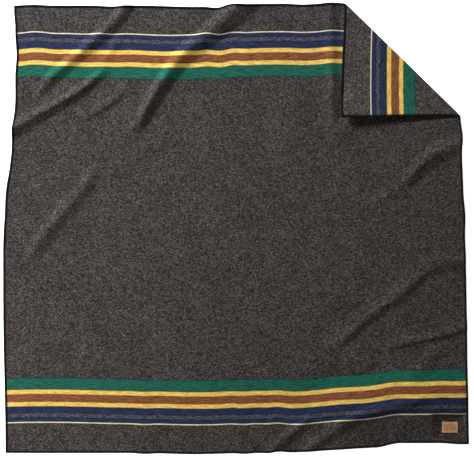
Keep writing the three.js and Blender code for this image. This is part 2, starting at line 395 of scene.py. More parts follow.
def relief(points):
    """How high the wrinkles lift the cloth. It is flat at the crease, below the flap and the patch."""
    height = swell_height(points) + lump_height(points)
    for wrinkle in WRINKLES:
        height += wrinkle_height(points, wrinkle)
    depth = depth_of(points)
    mirrored = points - 2 * depth[:, None] * inward
    past_side = mirrored[:, 0] - RIGHT_AT + RIGHT_SPLAY
    past_end = mirrored[:, 1] - TOP_AT - TOP_FLARE
    past_patch = np.max(np.abs(points - PATCH_CENTRE) - PATCH_HALF, axis=1)
    for past in (np.maximum(past_side, past_end), past_patch):
        height *= smoothstep(past, 0, FLAT_MARGIN)
    return height * smoothstep(depth, 0, FLAT_MARGIN)


# --- The fold -----------------------------------------------------------------------------

# The flap comes off the bend, sags onto the cloth below it, and lifts towards its free edges
GAP = 0.3 * MM
BEND_LENGTH = math.pi * BEND_RADIUS
FLAP_SAG_REACH = 60 * MM
FLAP_RESTING = 2 * CLOTH_THICKNESS - CLOTH_THICKNESS / 2 + GAP
BOTTOM_LIFT_REACH = 170 * MM
SIDE_LIFT_REACH = 70 * MM
SIDE_LIFT_SHARE = 0.6
FLAP_WAVE = 1.2 * MM
FLAP_WAVE_TURN = np.array([31, 9])  # radians per metre, across and along
FLAP_WAVE_PHASE = 0.6
FLAP_WAVE_REACH = 100 * MM


def rim_lift(lying):
    """The yarn under the rim holds it off the floor."""
    across = lying[:, 0] / HALF_WIDTH
    along = lying[:, 1] / HALF_LENGTH
    gaps = (
        lying[:, 0] - left_edge_x(along),
        right_edge_x(along) - lying[:, 0],
        top_edge_y(across) - lying[:, 1],
        lying[:, 1] - bottom_edge_y(across),
    )
    return RIM_LIFT * (1 - smoothstep(np.min(gaps, axis=0), 0, RIM_LIFT_REACH))


def flap_height(lying, past_bend, lift):
    """The height of the flap's middle surface, from where it lay before it was folded."""
    highest = HINGE_HEIGHT + BEND_RADIUS + FLAP_RISE * past_bend - lift
    sagged = mixed(HINGE_HEIGHT + BEND_RADIUS, FLAP_RESTING, smoothstep(past_bend, 0, FLAP_SAG_REACH))
    along = lying[:, 1] / HALF_LENGTH
    across = lying[:, 0] / HALF_WIDTH
    from_bottom = right_edge_x(along) - lying[:, 0]
    from_side = top_edge_y(across) - lying[:, 1]
    bottom_share = np.exp(-np.maximum(from_bottom, 0) / BOTTOM_LIFT_REACH)
    side_share = SIDE_LIFT_SHARE * np.exp(-np.maximum(from_side, 0) / SIDE_LIFT_REACH)
    share = np.maximum(bottom_share, side_share)
    wave = FLAP_WAVE * (1 + np.sin(lying @ FLAP_WAVE_TURN + FLAP_WAVE_PHASE)) / 2
    wave *= smoothstep(past_bend, 0, FLAP_WAVE_REACH)
    raised = sagged + wave + (highest - sagged) * share
    return np.minimum(raised, highest)


def place(sheet):
    """Where points of the unrolled sheet are in its middle surface, folded and wrinkled.

    The unrolled sheet is the lying cloth with the length of the bend let in at the crease.
    """
    depth = depth_of(sheet)
    folded = depth < 0
    turn = np.clip(-depth / BEND_RADIUS, 0, np.pi)
    past_bend = np.maximum(-depth - BEND_LENGTH, 0)
    foot = sheet - inward * np.minimum(depth, 0)[:, None]
    lying = foot - inward * past_bend[:, None]
    lift = rim_lift(lying)
    radius = BEND_RADIUS - lift
    xy = foot + inward * np.where(folded, past_bend - radius * np.sin(turn), 0)[:, None]
    flat = CLOTH_THICKNESS / 2 + lift
    z = np.where(folded, HINGE_HEIGHT - radius * np.cos(turn), flat)
    ahead = ~folded
    z[ahead] += relief(sheet[ahead])
    over = past_bend > 0
    z[over] = flap_height(lying[over], past_bend[over], lift[over])
    return np.column_stack([xy, z])


NUDGE = 0.3 * MM  # half the step over which a slope is measured


def place_with_normals(sheet):
    """The same, with the direction that the cloth's upper side faces at each point."""
    slopes = []
    for step in (np.array([NUDGE, 0]), np.array([0, NUDGE])):
        slopes.append(place(sheet + step) - place(sheet - step))
    normals = np.cross(*slopes)
    return place(sheet), normals / np.linalg.norm(normals, axis=1)[:, None]


# --- Cloth meshes -------------------------------------------------------------------------


def link(name, data):
    """A new object in the scene."""
    body = bpy.data.objects.new(name, data)
    bpy.context.scene.collection.objects.link(body)
    return body


def shade_smooth(mesh):
    mesh.polygons.foreach_set("use_smooth", [True] * len(mesh.polygons))


def keep_vectors(mesh, name, vectors):
    """Gives each point of a mesh a vector that its material reads."""
    layer = mesh.attributes.new(name, "FLOAT_VECTOR", "POINT")
    layer.data.foreach_set("vector", vectors.astype(np.float32).ravel())


def rows(low, high, rim_low, rim_high):
    """Grid lines from low to high, closer together at an end that is a rim of the cloth."""
    lows = low + RIM_ROWS if rim_low else np.array([low])
    highs = high - RIM_ROWS[::-1] if rim_high else np.array([high])
    count = max(1, round((highs[0] - lows[-1]) / GRID_STEP))
    return np.concatenate([lows, np.linspace(lows[-1], highs[0], count + 1)[1:-1], highs])


def flat_grid(xs, ys):
    """A grid as a bmesh that lies unfolded and keeps each point's place on the cloth in a layer."""
    x, y = np.meshgrid(xs, ys)
    cloth = np.column_stack([x.ravel(), y.ravel()])
    lying = lie(cloth)
    grid = bmesh.new()
    layer = grid.verts.layers.float_vector.new("weave")
    verts = []
    for (lx, ly), (cx, cy) in zip(lying, cloth):
        vert = grid.verts.new((lx, ly, 0))
        vert[layer] = (cx, cy, 0)
        verts.append(vert)
    across = len(xs)
    for row in range(len(ys) - 1):
        for column in range(across - 1):
            i = row * across + column
            grid.faces.new((verts[i], verts[i + 1], verts[i + across + 1], verts[i + across]))
    return grid


def cut_at_crease(grid, keep_flap):
    """Cuts the grid straight along the crease and keeps one side of it."""
    everything = [*grid.verts, *grid.edges, *grid.faces]
    return bmesh.ops.bisect_plane(
        grid,
        geom=everything,
        dist=CUT_TOLERANCE,
        plane_co=(*CREASE_TOP, 0),
        plane_no=(*inward, 0),
        clear_outer=keep_flap,
        clear_inner=not keep_flap,
    )["geom_cut"]


def add_bend(grid, cut):
    """Moves the flap's side out by the length of the bend and fills that with a strip."""
    layer = grid.verts.layers.float_vector["weave"]
    out = Vector((*-inward, 0))
    step = out * (BEND_LENGTH / BEND_STEPS)
    for vert in grid.verts:
        vert.co += out * BEND_LENGTH
    edges = [item for item in cut if isinstance(item, bmesh.types.BMEdge)]
    for _ in range(BEND_STEPS):
        made = bmesh.ops.extrude_edge_only(grid, edges=edges)["geom"]
        ahead = {item for item in made if isinstance(item, bmesh.types.BMVert)}
        made_edges = [item for item in made if isinstance(item, bmesh.types.BMEdge)]
        edges = [edge for edge in made_edges if edge.is_boundary and ahead.issuperset(edge.verts)]
        for vert in ahead:
            vert.co -= step
            vert[layer] = Vector(vert[layer]) - step
    for face in grid.faces:
        face.normal_update()
        if face.normal.z < 0:
            face.normal_flip()


def shell(name, grid, low, high):
    """Folds a flat grid, gives it its thickness, and returns it as a closed mesh object.

    Its points keep two attributes: weave, the place on the cloth and which side of it (0 is the
    front), and band, the gaps to the two borders, low and high, of this colour.
    """
    grid.verts.index_update()
    layer = grid.verts.layers.float_vector["weave"]
    sheet = np.array([vert.co[:2] for vert in grid.verts])
    cloth = np.array([vert[layer][:2] for vert in grid.verts])
    middle, normals = place_with_normals(sheet)
    rim_gap = np.min(np.array([HALF_WIDTH, HALF_LENGTH]) - np.abs(cloth), axis=1)
    half = mixed(RIM_THICKNESS, CLOTH_THICKNESS, smoothstep(rim_gap, RIM_THIN, RIM_TAPER))[:, None] / 2
    count = len(sheet)
    faces = [[vert.index for vert in face.verts] for face in grid.faces]
    under = [[i + count for i in reversed(face)] for face in faces]
    sides = []
    for edge in grid.edges:
        if edge.is_boundary:
            loop = edge.link_loops[0]
            a, b = loop.vert.index, loop.link_loop_next.vert.index
            sides.append([b, a, a + count, b + count])
    mesh = bpy.data.meshes.new(name)
    points = np.vstack([middle + normals * half, middle - normals * half])
    mesh.from_pydata(points, [], faces + under + sides)
    shade_smooth(mesh)
    both = np.vstack([cloth, cloth])
    side = np.repeat([0, 1], count)
    keep_vectors(mesh, "weave", np.column_stack([both, side]))
    keep_vectors(mesh, "band", np.column_stack([both[:, 1] - low, high - both[:, 1], side * 0]))
    sharpen(mesh, len(faces) * 2)
    grid.free()
    return link(name, mesh)


def sharpen(mesh, first_side):
    """Marks every edge of the side faces as sharp, so that the flat faces keep their own shading."""
    corners = {key for face in mesh.polygons[first_side:] for key in face.edge_keys}
    for edge in mesh.edges:
        edge.use_edge_sharp = edge.key in corners


def flat_size(grid):
    """The width and length of a flat grid on the cloth, and its area."""
    layer = grid.verts.layers.float_vector["weave"]
    cloth = np.array([vert[layer][:2] for vert in grid.verts])
    area = sum(face.calc_area() for face in grid.faces)
    return tuple(float(extent) for extent in cloth.max(0) - cloth.min(0)), area


BLEND_LEAN = 0.2  # how far the climb leans off the flap's side as it rises


def on_blanket(piece, node, slot):
    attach(piece, "blanket")
    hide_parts(node)


def on_flap(piece, node, slot):
    """Works out the climb, bakes the piece's place into its mesh and hides its CAD node."""
    climb = np.array([*(inward * BLEND_LEAN), 1])
    climb = climb / (climb @ climb)
    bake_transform(piece)
    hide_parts(node)


Cloth = namedtuple("Cloth", "piece flat area")
cloth_pieces = {}


def make_cloth(node, corner_node, low, high, slot):
    """One colour of the cloth between two places along it: what lies still, and what is on the flap."""
    reach = HALF_WIDTH - CLOTH_INSET
    rim_low = low < -HALF_LENGTH + BOTTOM_BORDER / 2
    rim_high = high > HALF_LENGTH - TOP_BORDER / 2
    xs = rows(-reach, reach, True, True)
    ys = rows(low, high, rim_low, rim_high)
    for name, keep_flap in ((node, False), (corner_node, True)):
        grid = flat_grid(xs, ys)
        cut = cut_at_crease(grid, keep_flap)
        if keep_flap and not cut:
            grid.free()
            continue
        flat, area = flat_size(grid)
        if keep_flap:
            add_bend(grid, cut)
        piece = shell(f"{name}_cloth", grid, low, high)
        piece.data.materials.append(materials[slot])
        cloth_pieces[name] = Cloth(piece, flat, area)
        (on_flap if keep_flap else on_blanket)(piece, name, slot)


def make_end(end, sign, border):
    """The border and stripes of one end; returns how far from the middle the plain ground starts."""
    outer = HALF_LENGTH - CLOTH_INSET
    inner = HALF_LENGTH - border
    for name, width, slot in (Stripe("end_border", 0, "charcoal_wool"), *STRIPES):
        low, high = sorted((sign * outer, sign * (inner - width)))
        make_cloth(f"{end}_{name}", f"corner_{name}", low, high, slot)
        inner -= width
        outer = inner
    return outer


# --- Edge yarn ----------------------------------------------------------------------------


def edge_path(start, end, interior):
    """The rim from start to end on the cloth, on the unrolled sheet, and the way in from it."""
    count = int(np.linalg.norm(np.subtract(end, start)) / PATH_STEP)
    share = np.linspace(0, 1, count + 1)[:, None]
    cloth = mixed(np.array(start), np.array(end), share)
    lying = lie(cloth)
    way_in = lie(cloth + np.array(interior) * MM) - lying
    way_in /= np.linalg.norm(way_in, axis=1)[:, None]
    return lying, way_in


def wound_strand(name, path, way_in, slot):
    """A flat strand wound round the rim along a path on the unrolled sheet."""
    lengths = np.concatenate([[0], np.cumsum(np.linalg.norm(np.diff(path, axis=0), axis=1))])
    turns = max(1, round(lengths[-1] / STITCH_PITCH))
    at = np.linspace(0, lengths[-1], turns * STRAND_STEPS + 1)
    angle = np.arange(len(at)) * 2 * np.pi / STRAND_STEPS

    def follow(values, where):
        return np.column_stack([np.interp(where, lengths, values[:, k]) for k in (0, 1)])

    reach = STITCH_DEPTH / 2
    inset = reach - STRAND_THICKNESS / 2 + reach * np.cos(angle)
    swing = np.sin(angle)
    offset = RIM_THICKNESS / 2 + STRAND_THICKNESS * STRAND_PROUD
    offset = offset * np.sign(swing) * np.abs(swing) ** STRAND_SQUARENESS
    sheet = follow(path, at) + follow(way_in, at) * inset[:, None]
    middle, normals = place_with_normals(sheet)
    centre = middle + normals * offset[:, None]
    ahead, behind = np.minimum(at + MM, lengths[-1]), np.maximum(at - MM, 0)
    along = place(follow(path, ahead)) - place(follow(path, behind))
    run = np.gradient(centre, axis=0)
    run /= np.linalg.norm(run, axis=1)[:, None]
    wide = along - np.sum(along * run, axis=1)[:, None] * run
    wide /= np.linalg.norm(wide, axis=1)[:, None]
    thin = np.cross(run, wide)
    verts, weave = [], []
    for k in range(STRAND_SIDES):
        around = 2 * np.pi * k / STRAND_SIDES
        verts.append(centre + wide * math.cos(around) * STRAND_WIDTH / 2
                     + thin * math.sin(around) * STRAND_THICKNESS / 2)
        weave.append(np.column_stack([at, np.full(len(at), around), angle]))
    verts = np.stack(verts, axis=1).reshape(-1, 3)
    weave = np.stack(weave, axis=1).reshape(-1, 3)
    faces = []
    for i in range(len(at) - 1):
        for k in range(STRAND_SIDES):
            a = i * STRAND_SIDES + k
            b = i * STRAND_SIDES + (k + 1) % STRAND_SIDES
            faces.append((a, b, b + STRAND_SIDES, a + STRAND_SIDES))
    faces.append(tuple(reversed(range(STRAND_SIDES))))
    faces.append(tuple(range(len(verts) - STRAND_SIDES, len(verts))))
    mesh = bpy.data.meshes.new(name)
    mesh.from_pydata(verts, [], faces)
    shade_smooth(mesh)
    keep_vectors(mesh, "weave", weave)
    mesh.materials.append(materials[slot])
    return link(name, mesh)


def make_edge(name, start, end, interior):
    """The yarn of one edge; what is past the crease is a piece of its own, on the flap."""
    path, way_in = edge_path(start, end, interior)
    still = depth_of(path) >= 0
    piece = wound_strand(f"{name}_yarn", path[still], way_in[still], "edging_yarn")
    on_blanket(piece, name, "edging_yarn")
    if np.all(still):
        return
    path, way_in = path[~still], way_in[~still]
    if np.abs(depth_of(path[-1:])) < np.abs(depth_of(path[:1])):
        path, way_in = path[::-1], way_in[::-1]
    foot = path[0] - inward * depth_of(path[:1])
    path = np.vstack([foot, path - inward * BEND_LENGTH])
    way_in = np.vstack([way_in[0], way_in])
    corner_name = f"corner_{name}"
    piece = wound_strand(f"{corner_name}_yarn", path, way_in, "edging_yarn")
    on_flap(piece, corner_name, "edging_yarn")


# --- Leather patch ------------------------------------------------------------------------


def make_object(name, node, grid, slot):
    mesh = bpy.data.meshes.new(name)
    grid.to_mesh(mesh)
    grid.free()
    shade_smooth(mesh)
    mesh.materials.append(materials[slot])
    piece = link(name, mesh)
    on_blanket(piece, node, slot)
    return piece


PATCH_STEP = 1 * MM
SHARPEST_CORNER = 0.5 * MM
PATCH_EDGE_ROUND = 0.7 * MM
FRAME_INSET = 10 * MM
FRAME_HALF_WIDTH = 1.3 * MM
FRAME_DEPTH = 0.3 * MM
SEAM_INSET = 5.1 * MM
SEAM_HALF_WIDTH = 1.2 * MM
SEAM_DEPTH = 0.35 * MM


def rounded_gap(x, y, inset):
    """How far inside a rounded rectangle, inset from the patch's outline, a point is."""
    half = PATCH_HALF - inset
    corner = max(PATCH_CORNER - inset, SHARPEST_CORNER)
    out = np.abs([x, y]) - (half - corner)
    return corner - np.linalg.norm(np.maximum(out, 0)) - min(max(out), 0)


def patch_surface(x, y):
    """The height of the patch's upper face: rounded rim, sunk seam line and sunk plain frame."""
    gap = rounded_gap(x, y, 0)
    z = PATCH_THICKNESS
    if gap < PATCH_EDGE_ROUND:
        share = 1 - max(gap, 0) / PATCH_EDGE_ROUND
        z -= PATCH_EDGE_ROUND * (1 - math.sqrt(max(1 - share**2, 0)))
    for inset, half, sunk in (
        (SEAM_INSET, SEAM_HALF_WIDTH, SEAM_DEPTH),
        (FRAME_INSET, FRAME_HALF_WIDTH, FRAME_DEPTH),
    ):
        z -= sunk * float(hump(gap, inset, half))
    return z


def make_patch():
    grid = bmesh.new()
    nx, ny = round(PATCH_WIDTH / PATCH_STEP), round(PATCH_HEIGHT / PATCH_STEP)
    top, low = {}, {}
    for i in range(nx + 1):
        for j in range(ny + 1):
            x = (i / nx - 0.5) * PATCH_WIDTH
            y = (j / ny - 0.5) * PATCH_HEIGHT
            x, y = round_off(x, y)
            z = PATCH_BASE + patch_surface(x, y)
            top[i, j] = grid.verts.new((PATCH_CENTRE[0] + x, PATCH_CENTRE[1] + y, z))
            if i in (0, nx) or j in (0, ny):
                low[i, j] = grid.verts.new((PATCH_CENTRE[0] + x, PATCH_CENTRE[1] + y, PATCH_BASE))
    for i in range(nx):
        for j in range(ny):
            grid.faces.new((top[i, j], top[i + 1, j], top[i + 1, j + 1], top[i, j + 1]))
    ring = [(i, 0) for i in range(nx)] + [(nx, j) for j in range(ny)]
    ring += [(i, ny) for i in range(nx, 0, -1)] + [(0, j) for j in range(ny, 0, -1)]
    for a, b in zip(ring, ring[1:] + ring[:1]):
        grid.faces.new((top[b], top[a], low[a], low[b]))
    grid.faces.new([low[key] for key in reversed(ring)])
    return make_object("stitched_leather_patch", "leather_patch", grid, "patch_leather")


def round_off(x, y):
    """Draws a point of the patch's square grid in so that the outline has its rounded corners."""
    half = PATCH_HALF
    out = np.abs([x, y]) - (half - PATCH_CORNER)
    if np.all(out > 0):
        reach = np.linalg.norm(out)
        square = max(out)
        out *= square / reach
        x = math.copysign(half[0] - PATCH_CORNER + out[0], x)
        y = math.copysign(half[1] - PATCH_CORNER + out[1], y)
    return x, y


THREAD_STITCH = 3.4 * MM
THREAD_GAP = 1.1 * MM
THREAD_RADIUS = 0.45 * MM
THREAD_STEPS = 8
THREAD_SIDES = 8
THREAD_PROUD = 0.55  # in radii, how high a stitch's middle stands over the seam
THREAD_DIP = 0.9  # in radii, how much lower its ends are
THREAD_TIP = 0.02  # keeps the tips from closing to a point


def seam_line():
    """The seam's corner points, going round the patch."""
    half = PATCH_HALF - SEAM_INSET
    return [np.array([sx, sy]) * half for sx, sy in ((-1, -1), (1, -1), (1, 1), (-1, 1))]


def make_stitches():
    grid = bmesh.new()
    corners = seam_line()
    for a, b in zip(corners, corners[1:] + corners[:1]):
        length = np.linalg.norm(b - a)
        count = round(length / (THREAD_STITCH + THREAD_GAP))
        pitch = length / count
        for k in range(count):
            middle = a + (b - a) * ((k + 0.5) * pitch / length)
            add_stitch(grid, middle, (b - a) / length, pitch - THREAD_GAP)
    return make_object("patch_stitches", "patch_stitching", grid, "patch_thread")


def add_stitch(grid, middle, heading, length):
    """One stitch: a short rounded bar that dips into the leather at both ends."""
    height = PATCH_BASE + PATCH_THICKNESS - SEAM_DEPTH
    side = np.array([-heading[1], heading[0]])
    rings = []
    for i in range(THREAD_STEPS + 1):
        t = i / THREAD_STEPS * 2 - 1
        swell = math.sqrt(max(1 - t**4, THREAD_TIP))
        z = height + THREAD_RADIUS * (THREAD_PROUD - THREAD_DIP * t * t)
        centre = PATCH_CENTRE + middle + heading * length * t / 2
        ring = []
        for k in range(THREAD_SIDES):
            around = 2 * math.pi * k / THREAD_SIDES
            xy = centre + side * THREAD_RADIUS * swell * math.cos(around)
            ring.append(grid.verts.new((*xy, z + THREAD_RADIUS * swell * math.sin(around))))
        rings.append(ring)
    for near, far in zip(rings, rings[1:]):
        for k in range(THREAD_SIDES):
            n = (k + 1) % THREAD_SIDES
            grid.faces.new((near[k], near[n], far[n], far[k]))
    grid.faces.new(list(reversed(rings[0])))
    grid.faces.new(rings[-1])


# --- Materials ----------------------------------------------------------------------------

# Noise scales are cells for each metre: along the weft, across it, and from the front to the back
SHEEN_ROUGHNESS = 0.55
BLUISH = (0.8, 0.87, 1, 1)
WEAVE_DEPTH = 0.5 * MM
RIB_SHARE = 0.3  # the height of the twill's ribs, in heights of the nap

# Painted shade: a dark ragged line painted where one weft colour meets the next, for the small shadow
# between two wefts
WEFT_SEAM_SHADE_WIDTH = 4 * MM
WEFT_SEAM_SHADE_TONE = 0.5
WEFT_SEAM_SHADE_RAGGED = 1.2 * MM

BACK_PALER = 1.3  # how much brighter the charcoal ground is on its reverse side

# A dyed weft: its colour in the dips, its own colour, its colour where the nap catches light, its sheen,
# and whether painted shade goes along its borders with the next weft colour
Dye = namedtuple("Dye", "dark middle light sheen dark_line", defaults=[True])
DYES = {
    "navy_wool": Dye((0.003, 0.006, 0.019), (0.012, 0.019, 0.052), (0.034, 0.047, 0.1), 0.02),
    "gold_wool": Dye((0.34, 0.2, 0.03), (0.64, 0.415, 0.08), (0.86, 0.61, 0.17), 0.04),
    "rust_wool": Dye((0.07, 0.02, 0.008), (0.165, 0.053, 0.021), (0.29, 0.11, 0.05), 0.03),
    "green_wool": Dye((0.003, 0.034, 0.022), (0.008, 0.076, 0.049), (0.026, 0.142, 0.1), 0.02),
    "cream_wool": Dye((0.38, 0.3, 0.17), (0.56, 0.46, 0.29), (0.74, 0.63, 0.42), 0.04, False),
}


class Shader:
    """A material and short ways to add nodes to it."""

    def __init__(self, name, roughness, sheen=0.0, sheen_tint=(1, 1, 1, 1), specular=0.1):
        self.material = bpy.data.materials.new(name)
        self.material.use_nodes = True
        self.tree = self.material.node_tree
        self.surface = self.tree.nodes["Principled BSDF"]
        self.surface.inputs["Roughness"].default_value = roughness
        self.surface.inputs["Specular IOR Level"].default_value = specular
        self.surface.inputs["Sheen Weight"].default_value = sheen
        self.surface.inputs["Sheen Roughness"].default_value = SHEEN_ROUGHNESS
        self.surface.inputs["Sheen Tint"].default_value = sheen_tint

    def node(self, kind, inputs, **settings):
        made = self.tree.nodes.new(kind)
        for key, value in settings.items():
            setattr(made, key, value)
        for key, value in inputs.items():
            if isinstance(value, bpy.types.NodeSocket):
                self.tree.links.new(value, made.inputs[key])
            else:
                made.inputs[key].default_value = value
        return made

    def attribute(self, name):
        return self.node("ShaderNodeAttribute", {}, attribute_name=name).outputs["Vector"]

    def vector(self, operation, a, b, c=(0, 0, 0)):
        return self.node("ShaderNodeVectorMath", {0: a, 1: b, 2: c}, operation=operation).outputs[0]

    def parts(self, vector):
        return self.node("ShaderNodeSeparateXYZ", {"Vector": vector}).outputs

    def weave(self, scale):
        """The place on the cloth, times a scale along each axis."""
        return self.vector("MULTIPLY", self.attribute("weave"), scale)

    def here(self):
        """The place in space, in metres."""
        return self.node("ShaderNodeNewGeometry", {}).outputs["Position"]

    def waves(self, place, scale, distortion, detail_scale=1.0):
        """Slanting bands."""
        return self.node(
            "ShaderNodeTexWave",
            {"Vector": place, "Scale": scale, "Distortion": distortion, "Detail Scale": detail_scale},
            bands_direction="DIAGONAL",
        ).outputs["Fac"]

    def noise(self, scale, detail=2.0, roughness=0.5):
        return self.node(
            "ShaderNodeTexNoise",
            {"Vector": self.weave(scale), "Scale": 1.0, "Detail": detail, "Roughness": roughness},
        ).outputs["Fac"]

    def flecks(self, scale, ragged):
        """Short ragged flecks, each of one random tone."""
        here = self.weave(scale)
        stray = self.node(
            "ShaderNodeTexNoise", {"Vector": here, "Scale": 1.3, "Detail": 5.0, "Roughness": 0.75}
        ).outputs["Color"]
        bent = self.vector("MULTIPLY_ADD", stray, (ragged,) * 3, here)
        tone = self.node("ShaderNodeTexVoronoi", {"Vector": bent, "Scale": 1.0}).outputs["Color"]
        return self.parts(tone)["X"]

    def math(self, operation, a, b=0.0, c=0.0):
        return self.node("ShaderNodeMath", {0: a, 1: b, 2: c}, operation=operation).outputs[0]

    def remap(self, value, low, high, to_low=0.0, to_high=1.0):
        return self.node(
            "ShaderNodeMapRange",
            {"Value": value, "From Min": low, "From Max": high, "To Min": to_low, "To Max": to_high},
        ).outputs["Result"]

    def vary(self, noise, low, high):
        """Spreads a noise, most of which lies within 0.3 to 0.7, from low to high."""
        return self.remap(noise, 0.3, 0.7, low, high)

    def mean(self, a, b, share):
        """A share of a number, and the rest of another."""
        return self.math("ADD", self.math("MULTIPLY", a, share), self.math("MULTIPLY", b, 1 - share))

    def mix(self, share, a, b):
        made = self.node("ShaderNodeMix", {"Factor": share}, data_type="RGBA")
        for socket, value in ((made.inputs[6], a), (made.inputs[7], b)):
            if isinstance(value, bpy.types.NodeSocket):
                self.tree.links.new(value, socket)
            else:
                socket.default_value = (*value[:3], 1)
        return made.outputs[2]

    def brighten(self, colour, factor):
        """A colour times a number that varies over the surface."""
        made = self.node("ShaderNodeVectorMath", {0: colour, 3: factor}, operation="SCALE")
        return made.outputs[0]

    def ramp(self, value, *stops):
        made = self.node("ShaderNodeValToRGB", {"Fac": value})
        elements = made.color_ramp.elements
        while len(elements) < len(stops):
            elements.new(0.5)
        for element, (position, colour) in zip(elements, stops):
            element.position = position
            element.color = (*colour, 1)
        return made.outputs["Color"]

    def finish(self, colour, height, depth):
        bump = self.node("ShaderNodeBump", {"Height": height, "Distance": depth, "Strength": 1.0})
        self.tree.links.new(colour, self.surface.inputs["Base Color"])
        self.tree.links.new(bump.outputs["Normal"], self.surface.inputs["Normal"])
        return self.material


def woven_height(shader):
    """Twill ribs roughened by nap."""
    ribs = shader.waves(shader.weave((1, 1, 0)), scale=55.0, distortion=3.0, detail_scale=3.0)
    nap = shader.noise((420, 420, 7), detail=3.0, roughness=0.6)
    return shader.math("ADD", shader.math("MULTIPLY", ribs, RIB_SHARE), nap)


def finish_wool_with_painted_seam_shade(shader, colour):
    """Paints shade as a dark ragged line where one weft colour meets the next, and adds the weave's relief.
    """
    gaps = shader.parts(shader.attribute("band"))
    gap = shader.math("MINIMUM", gaps["X"], gaps["Y"])
    ragged = shader.vary(shader.noise((120, 60, 4)), -WEFT_SEAM_SHADE_RAGGED, WEFT_SEAM_SHADE_RAGGED)
    # painted shade: the colour is darkened within a few millimetres of each border with the next weft
    # colour
    line = shader.remap(shader.math("ADD", gap, ragged), 0, WEFT_SEAM_SHADE_WIDTH, WEFT_SEAM_SHADE_TONE, 1)
    return shader.finish(shader.brighten(colour, line), woven_height(shader), WEAVE_DEPTH)


def charcoal_wool():
    """Heathered yarn: dark and pale flecks, mottled, and a little paler on the reverse side."""
    shader = Shader("charcoal_wool", roughness=0.95, sheen=0.06, sheen_tint=BLUISH)
    fleck = shader.flecks((225, 320, 3), ragged=2.4)
    fine = shader.noise((480, 390, 5), detail=1.0)
    patchy = shader.noise((34, 24, 2), detail=3.0, roughness=0.65)
    cloudy = shader.noise((7, 6, 1))
    colour = shader.ramp(
        shader.mean(fleck, fine, share=0.5),
        (0.24, (0.003, 0.0025, 0.0021)),
        (0.42, (0.0185, 0.0153, 0.0132)),
        (0.62, (0.0515, 0.043, 0.0377)),
        (0.8, (0.145, 0.1235, 0.1095)),
    )
    colour = shader.brighten(colour, shader.vary(patchy, 0.84, 1.16))
    colour = shader.brighten(colour, shader.vary(cloudy, 0.86, 1.14))
    side = shader.parts(shader.attribute("weave"))["Z"]
    return finish_wool_with_painted_seam_shade(shader, shader.brighten(colour, shader.remap(side, 0, 1, 1, BACK_PALER)))


def heather_wool():
    """The stripe between the navy ones: navy and pale grey yarns in long streaks."""
    shader = Shader("heather_wool", roughness=0.95, sheen=0.04, sheen_tint=BLUISH)
    streak = shader.noise((45, 240, 3), roughness=0.6)
    fleck = shader.noise((210, 190, 5), detail=1.0)
    colour = shader.ramp(
        shader.mean(streak, fleck, share=0.6),
        (0.38, (0.01, 0.0125, 0.026)),
        (0.5, (0.038, 0.037, 0.05)),
        (0.62, (0.125, 0.12, 0.127)),
    )
    return finish_wool_with_painted_seam_shade(shader, colour)


def dyed_wool(name, dye):
    """Weft yarn: streaks along the yarn, dark between the yarns, a light nap."""
    shader = Shader(name, roughness=0.9, sheen=dye.sheen)
    streak = shader.noise((22, 210, 3), roughness=0.55)
    fleck = shader.noise((190, 170, 5), roughness=0.6)
    tone = shader.mean(streak, fleck, share=0.5)
    colour = shader.ramp(tone, (0.36, dye.dark), (0.5, dye.middle), (0.64, dye.light))
    # a dye without the painted seam shade gets no dark line painted along its borders
    if not dye.dark_line:
        return shader.finish(colour, woven_height(shader), WEAVE_DEPTH)
    return finish_wool_with_painted_seam_shade(shader, colour)


def edging_yarn():
    """Two-ply black yarn: here weave holds the place along the edge and round the strand."""
    shader = Shader("edging_yarn", roughness=0.9, sheen=0.03, specular=0.05)
    plies = shader.waves(shader.weave((900, 1, 1.2)), scale=0.5, distortion=0.6)
    tone = shader.noise((700, 2, 2))
    colour = shader.ramp(tone, (0.35, (0.002, 0.002, 0.002)), (0.7, (0.009, 0.009, 0.01)))
    return shader.finish(colour, plies, depth=0.3 * MM)


def patch_leather():
    """Vegetable-tanned leather: grained and mottled, redder inside the sunk frame."""
    shader = Shader("patch_leather", roughness=0.55, specular=0.35)
    here = shader.here()
    grain = shader.node("ShaderNodeTexVoronoi", {"Vector": here, "Scale": 900.0}).outputs["Distance"]
    mottle = shader.node(
        "ShaderNodeTexNoise", {"Vector": here, "Scale": 60.0, "Detail": 3.0}
    ).outputs["Fac"]
    rim = shader.ramp(mottle, (0.35, (0.4, 0.235, 0.125)), (0.65, (0.54, 0.34, 0.2)))
    face = shader.ramp(mottle, (0.35, (0.33, 0.15, 0.05)), (0.65, (0.44, 0.22, 0.085)))
    from_centre = shader.parts(shader.vector("SUBTRACT", here, (*PATCH_CENTRE, 0)))
    gap_x = shader.math("SUBTRACT", PATCH_WIDTH / 2, shader.math("ABSOLUTE", from_centre["X"]))
    gap_y = shader.math("SUBTRACT", PATCH_HEIGHT / 2, shader.math("ABSOLUTE", from_centre["Y"]))
    inside = shader.math("MINIMUM", gap_x, gap_y)
    share = shader.remap(inside, FRAME_INSET - FRAME_HALF_WIDTH, FRAME_INSET + FRAME_HALF_WIDTH)
    colour = shader.mix(share, rim, face)
    colour = shader.brighten(colour, shader.remap(grain, 0, 0.6, 0.86, 1.05))
    return shader.finish(colour, grain, depth=0.15 * MM)


def patch_thread():
    """Brown twisted thread."""
    shader = Shader("patch_thread", roughness=0.6, specular=0.25)
    twist = shader.waves(shader.here(), scale=500.0, distortion=1.0)
    colour = shader.ramp(twist, (0.2, (0.11, 0.055, 0.024)), (0.8, (0.19, 0.105, 0.05)))
    return shader.finish(colour, twist, depth=0.1 * MM)


